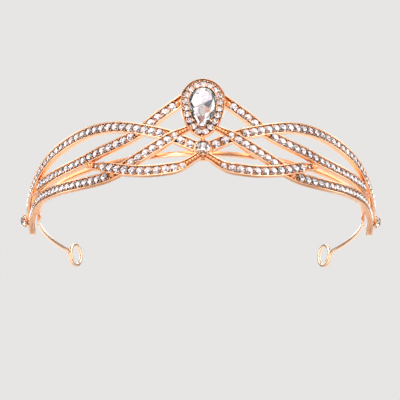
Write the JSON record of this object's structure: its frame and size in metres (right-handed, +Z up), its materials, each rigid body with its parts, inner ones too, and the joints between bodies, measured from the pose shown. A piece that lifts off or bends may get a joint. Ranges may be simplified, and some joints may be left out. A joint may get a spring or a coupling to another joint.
{
  "type": "bridal tiara",
  "caption": "Bridal tiara of woven rhinestone bands with a pear-shaped jewel at the centre front, a head wire and two sprung side arms that end in hairpin loops.",
  "frame": {"origin": "middle of the base, on the surface that the lower bands and the two loops stand on", "axes": "+Z up, -Y the jewelled front, +X towards the tiara's left-hand side seen from behind (the right of the front view)"},
  "size_m": [0.1472, 0.1182, 0.038],
  "materials": {
    "cast_gold": "polished rose-gold plating on a cast alloy",
    "wire_gold": "drawn wire, rose-gold plated, soft sheen",
    "solder": "plated solder, slightly dull",
    "crystal": "faceted foil-backed rhinestone"
  },
  "bodies": {
    "tiara": {"head_wire": "wire_gold", "pear_setting": "cast_gold", "pear_crystal": "crystal", "halo_stones": "crystal", "neck_link": "cast_gold", "centre_setting": "cast_gold", "centre_stone": "crystal", "left_arc_band": "cast_gold", "left_shoulder_band": "cast_gold", "left_cross_band": "cast_gold", "left_lower_band": "cast_gold", "left_stones_arc_inner": "crystal", "left_stones_arc_outer": "crystal", "left_stones_shoulder_upper": "crystal", "left_stones_shoulder_lower": "crystal", "left_stones_cross_inner": "crystal", "left_stones_cross_outer": "crystal", "left_stones_lower_row": "crystal", "left_end_setting": "cast_gold", "left_end_stone": "crystal", "left_inner_pad": "solder", "left_outer_pad": "solder", "left_end_pad": "solder", "left_lap_pad": "solder", "right_arc_band": "cast_gold", "right_shoulder_band": "cast_gold", "right_cross_band": "cast_gold", "right_lower_band": "cast_gold", "right_stones_arc_inner": "crystal", "right_stones_arc_outer": "crystal", "right_stones_shoulder_upper": "crystal", "right_stones_shoulder_lower": "crystal", "right_stones_cross_inner": "crystal", "right_stones_cross_outer": "crystal", "right_stones_lower_row": "crystal", "right_end_setting": "cast_gold", "right_end_stone": "crystal", "right_inner_pad": "solder", "right_outer_pad": "solder", "right_end_pad": "solder", "right_lap_pad": "solder"},
    "left_arm": {"left_arm": "wire_gold"},
    "right_arm": {"right_arm": "wire_gold"}
  },
  "joints": [
    {"name": "left_arm_flex", "type": "hinge", "parent": "tiara", "child": "left_arm", "pos_m": [-0.06582, 0.01047, 0.00535], "axis": [0, 0, 1], "range_deg": [-5, 12], "stiffness_Nm_per_rad": 0.25},
    {"name": "right_arm_flex", "type": "hinge", "parent": "tiara", "child": "right_arm", "pos_m": [0.06582, 0.01047, 0.00535], "axis": [0, 0, -1], "range_deg": [-5, 12], "stiffness_Nm_per_rad": 0.25}
  ]
}
